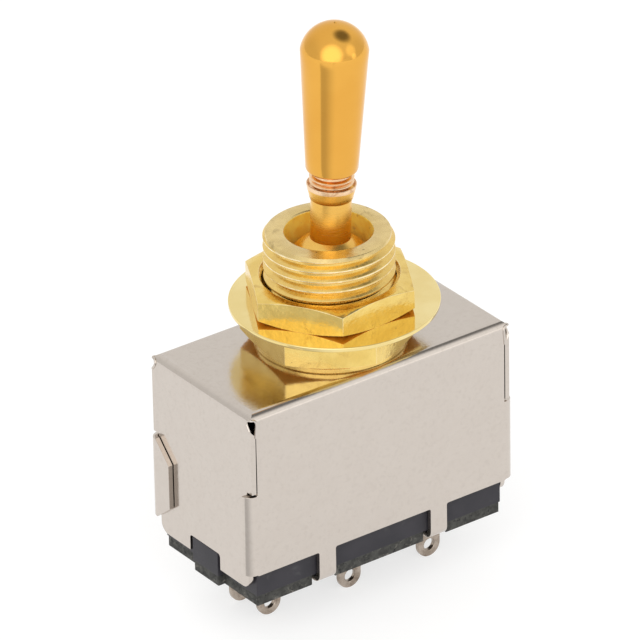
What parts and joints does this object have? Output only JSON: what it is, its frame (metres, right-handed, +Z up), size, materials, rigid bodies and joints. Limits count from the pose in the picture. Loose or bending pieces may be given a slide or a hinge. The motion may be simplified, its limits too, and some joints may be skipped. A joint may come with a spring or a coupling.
{
  "type": "guitar pickup selector switch",
  "caption": "Box-type toggle switch with a folded metal cover, a threaded bushing with nuts and a washer, a gold-tipped lever and solder lugs under a moulded base.",
  "frame": {"origin": "under the bushing's axis, level with the tips of the solder lugs", "axes": "+Z up the bushing's axis towards the lever's tip, +X along the long side of the box, -Y out of the long side on the right of the picture"},
  "size_m": [0.03, 0.0192, 0.0565],
  "materials": {
    "nickel_plate": "nickel plate, satin bright",
    "gold_plate": "gold plate on brass, polished",
    "moulding": "dark moulded resin",
    "fibre": "dark mottled fibre board",
    "nylon": "natural nylon",
    "tinned_lug": "plated brass strip",
    "contact_strip": "plated brass strip",
    "spring_leaf": "spring steel strip"
  },
  "bodies": {
    "switch_body": {"cover": "nickel_plate", "bushing": "gold_plate", "lower_nut": "gold_plate", "washer": "gold_plate", "upper_nut": "gold_plate", "ball_seat": "gold_plate", "base": "moulding", "fibre_board": "fibre", "terminal_front_left": "tinned_lug", "terminal_front_centre": "tinned_lug", "terminal_front_right": "tinned_lug", "terminal_rear_left": "tinned_lug", "terminal_rear_centre": "tinned_lug", "terminal_rear_right": "tinned_lug", "front_detent_spring": "spring_leaf", "rear_detent_spring": "spring_leaf"},
    "lever_body": {"lever": "gold_plate", "lever_tip": "gold_plate"},
    "slider_body": {"slider": "nylon", "front_bridge": "contact_strip", "rear_bridge": "contact_strip", "front_contact_spring": "spring_leaf", "rear_contact_spring": "spring_leaf"}
  },
  "joints": [
    {"name": "lever_tilt", "type": "hinge", "parent": "switch_body", "child": "lever_body", "pos_m": [0, 0, 0.0316], "axis": [0, 1, 0], "range_deg": [-12, 12]},
    {"name": "slider_slide", "type": "slide", "parent": "switch_body", "child": "slider_body", "axis": [1, 0, 0], "range_m": [-0.0037, 0.0037], "deforming": ["front_detent_spring", "rear_detent_spring"]}
  ],
  "couplings": [
    {"joint": "slider_slide", "follows": "lever_tilt", "m_per_rad": -0.0175}
  ]
}
